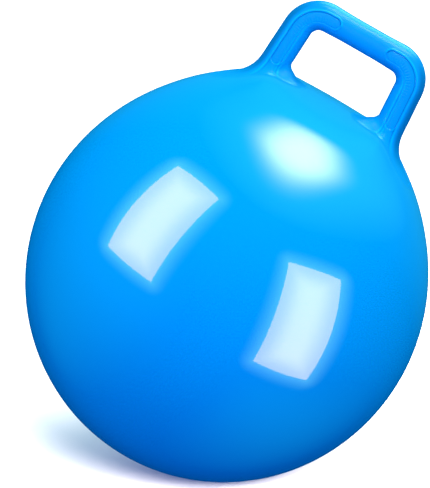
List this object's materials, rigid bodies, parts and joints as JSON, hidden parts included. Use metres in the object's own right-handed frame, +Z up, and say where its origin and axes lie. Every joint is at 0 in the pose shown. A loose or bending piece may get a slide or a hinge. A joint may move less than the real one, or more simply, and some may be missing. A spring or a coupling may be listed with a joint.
{
  "type": "hopper ball",
  "caption": "Air-filled vinyl hopper ball with a moulded loop handle on top and a push-in air valve at the back, shown leaning as it lies on the floor.",
  "frame": {"origin": "middle of the flat patch that the ball rests on, on the floor", "axes": "+Z up; the handle's plane is XZ and the handle leans 29 degrees from upright towards +X; the valve is on the +Y side"},
  "size_m": [0.4523, 0.45, 0.5408],
  "materials": {
    "vinyl_ball": "glossy azure vinyl, slightly translucent",
    "vinyl_handle": "glossy azure vinyl with a ribbed sunk grip panel",
    "vinyl_seat": "semi-gloss azure vinyl",
    "plug_plastic": "satin white soft plastic"
  },
  "bodies": {
    "ball": {"ball_skin": "vinyl_ball", "handle_loop": "vinyl_handle", "valve_seat": "vinyl_seat"},
    "plug": {"valve_plug": "plug_plastic"}
  },
  "joints": [
    {"name": "plug_pull", "type": "slide", "parent": "ball", "child": "plug", "axis": [0.2049, 0.9063, 0.3696], "range_m": [0, 0.018]}
  ]
}
